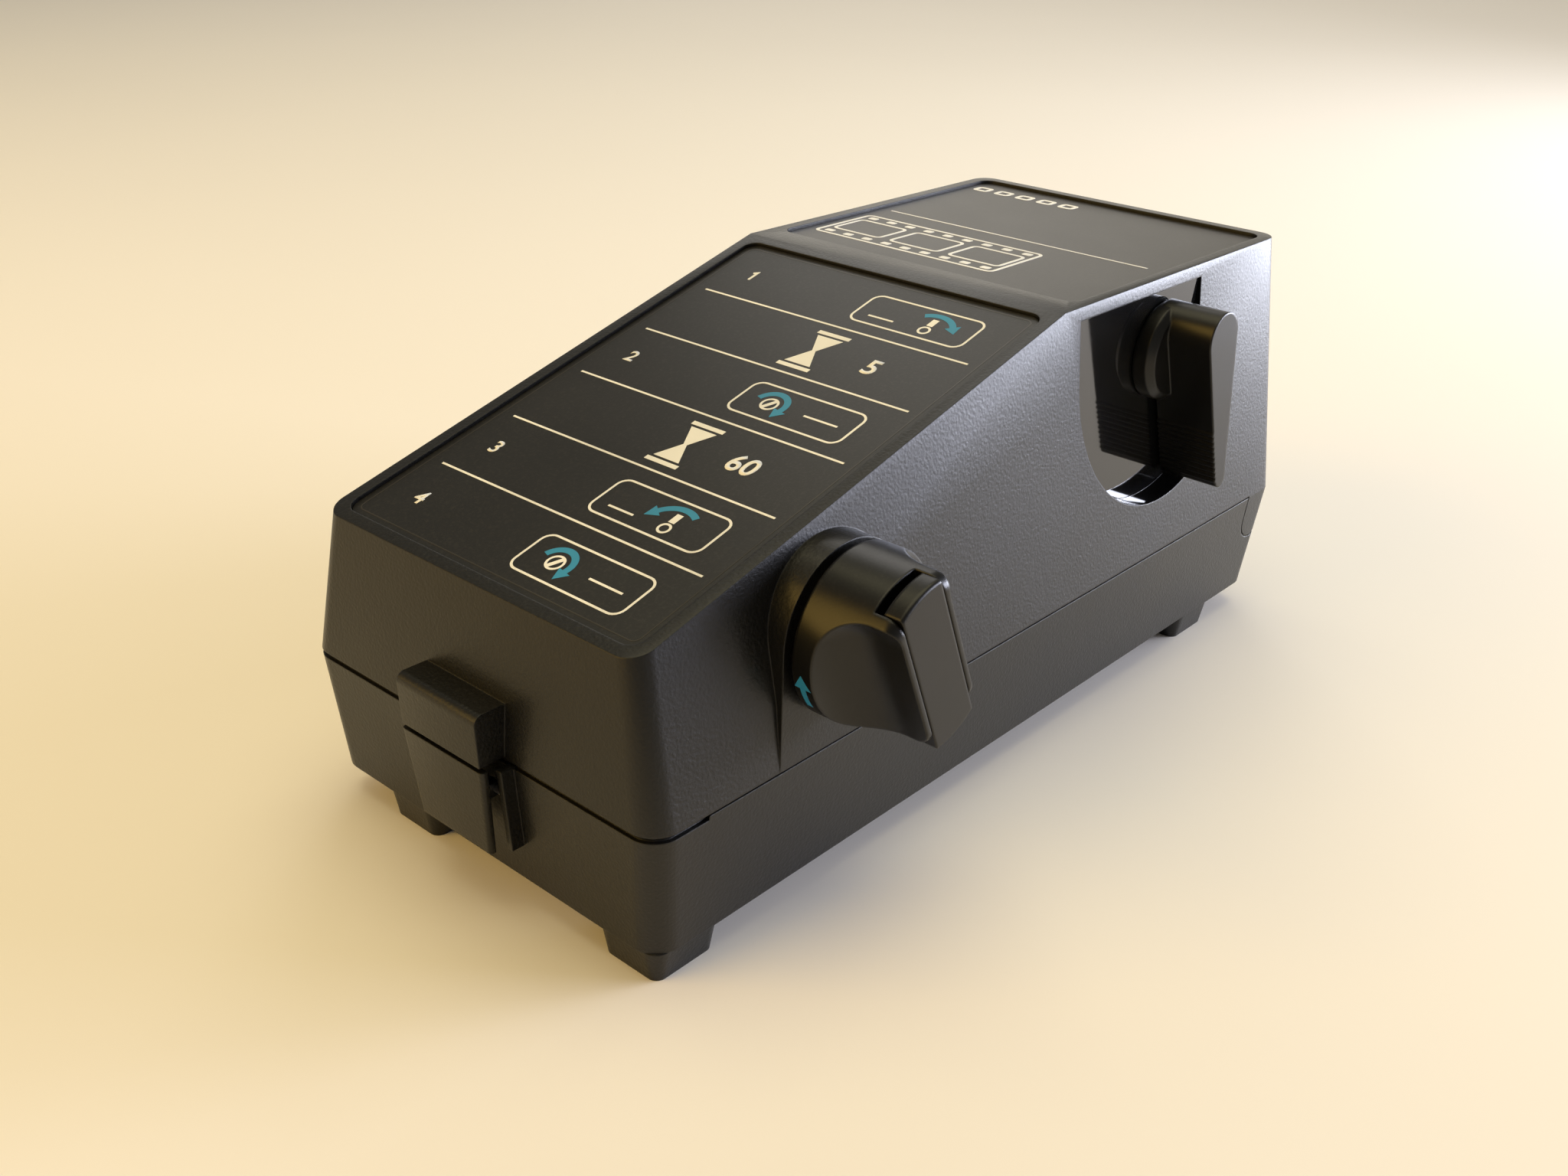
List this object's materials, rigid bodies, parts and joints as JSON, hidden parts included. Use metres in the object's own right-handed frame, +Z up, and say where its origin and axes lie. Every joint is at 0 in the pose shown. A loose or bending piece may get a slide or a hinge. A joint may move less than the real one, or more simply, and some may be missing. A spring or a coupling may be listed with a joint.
{
  "type": "instant slide processor",
  "caption": "Hinged case with a sloped lid, front latch, folding side crank and side lever; gears inside wind film on a drum and a rack drives a press bar.",
  "frame": {"origin": "middle of the overall box in X and Y at table level", "axes": "+X from the latch to the hinge, crank and lever on the -Y side, +Z up"},
  "size_m": [0.2414, 0.128, 0.1039],
  "materials": {
    "case_black": "fine moulded grain",
    "inner_black": "matt",
    "satin_black": "satin",
    "panel_grey": "satin foil with printed signs",
    "nylon": "natural nylon",
    "steel": "turned",
    "rubber": "ground"
  },
  "bodies": {
    "base": {"base_shell": "case_black", "inner_tray": "inner_black", "tray_screws": "steel", "hinge_pins": "steel", "latch_pin": "steel", "latch_spring": "steel"},
    "lid": {"lid_shell": "case_black", "slope_panel": "panel_grey", "top_panel": "panel_grey", "lever_dish": "satin_black", "crank_bush": "inner_black", "press_guide": "nylon", "guide_screws": "steel"},
    "latch": {"latch_lever": "case_black"},
    "crank": {"crank_knob": "satin_black", "crank_shaft": "steel", "crank_gear": "nylon", "gear_screw": "steel", "handle_pin": "steel"},
    "handle": {"crank_handle": "satin_black"},
    "lever_arm": {"lever": "satin_black", "lever_shaft": "steel", "lever_pinion": "nylon"},
    "press": {"press_bar": "nylon", "press_pad": "rubber"},
    "drum": {"takeup_drum": "inner_black", "drum_shaft": "steel", "drum_gear": "nylon"},
    "rewind": {"rewind_fork": "steel", "rewind_gear": "nylon"},
    "roller_front": {"guide_roller_front": "rubber"},
    "roller_rear": {"guide_roller_rear": "rubber"}
  },
  "joints": [
    {"name": "lid_hinge", "type": "hinge", "parent": "base", "child": "lid", "pos_m": [0.11275, 0.011, 0.0283], "axis": [0, 1, 0], "range_deg": [0, 90]},
    {"name": "latch_rock", "type": "hinge", "parent": "base", "child": "latch", "pos_m": [-0.11547, 0.011, 0.02895], "axis": [0, -1, 0], "range_deg": [0, 6], "stiffness_Nm_per_rad": 0.4, "springref_deg": -5.73},
    {"name": "crank_spin", "type": "hinge", "parent": "lid", "child": "crank", "pos_m": [-0.06375, -0.039, 0.061], "axis": [0, 1, 0], "continuous": true},
    {"name": "handle_fold", "type": "hinge", "parent": "crank", "child": "handle", "pos_m": [-0.05812, -0.06195, 0.04775], "axis": [0.9205, 0, 0.3907], "range_deg": [0, 180]},
    {"name": "lever_swing", "type": "hinge", "parent": "lid", "child": "lever_arm", "pos_m": [0.05775, -0.039, 0.0864], "axis": [0, 1, 0], "range_deg": [0, 100]},
    {"name": "press_slide", "type": "slide", "parent": "lid", "child": "press", "axis": [0, 0, 1], "range_m": [0, 0.01047]},
    {"name": "drum_spin", "type": "hinge", "parent": "base", "child": "drum", "pos_m": [-0.0687, 0.001, 0.03293], "axis": [0, 1, 0], "continuous": true},
    {"name": "rewind_spin", "type": "hinge", "parent": "base", "child": "rewind", "pos_m": [-0.01825, -0.025, 0.027], "axis": [0, 1, 0], "continuous": true},
    {"name": "roller_front_spin", "type": "hinge", "parent": "base", "child": "roller_front", "pos_m": [-0.04027, 0.001, 0.0335], "axis": [0, 1, 0], "continuous": true},
    {"name": "roller_rear_spin", "type": "hinge", "parent": "base", "child": "roller_rear", "pos_m": [0.00355, 0.001, 0.0325], "axis": [0, 1, 0], "continuous": true}
  ],
  "couplings": [
    {"joint": "drum_spin", "follows": "crank_spin", "ratio": -0.72727},
    {"joint": "lever_swing", "follows": "press_slide", "rad_per_m": 166.67}
  ]
}
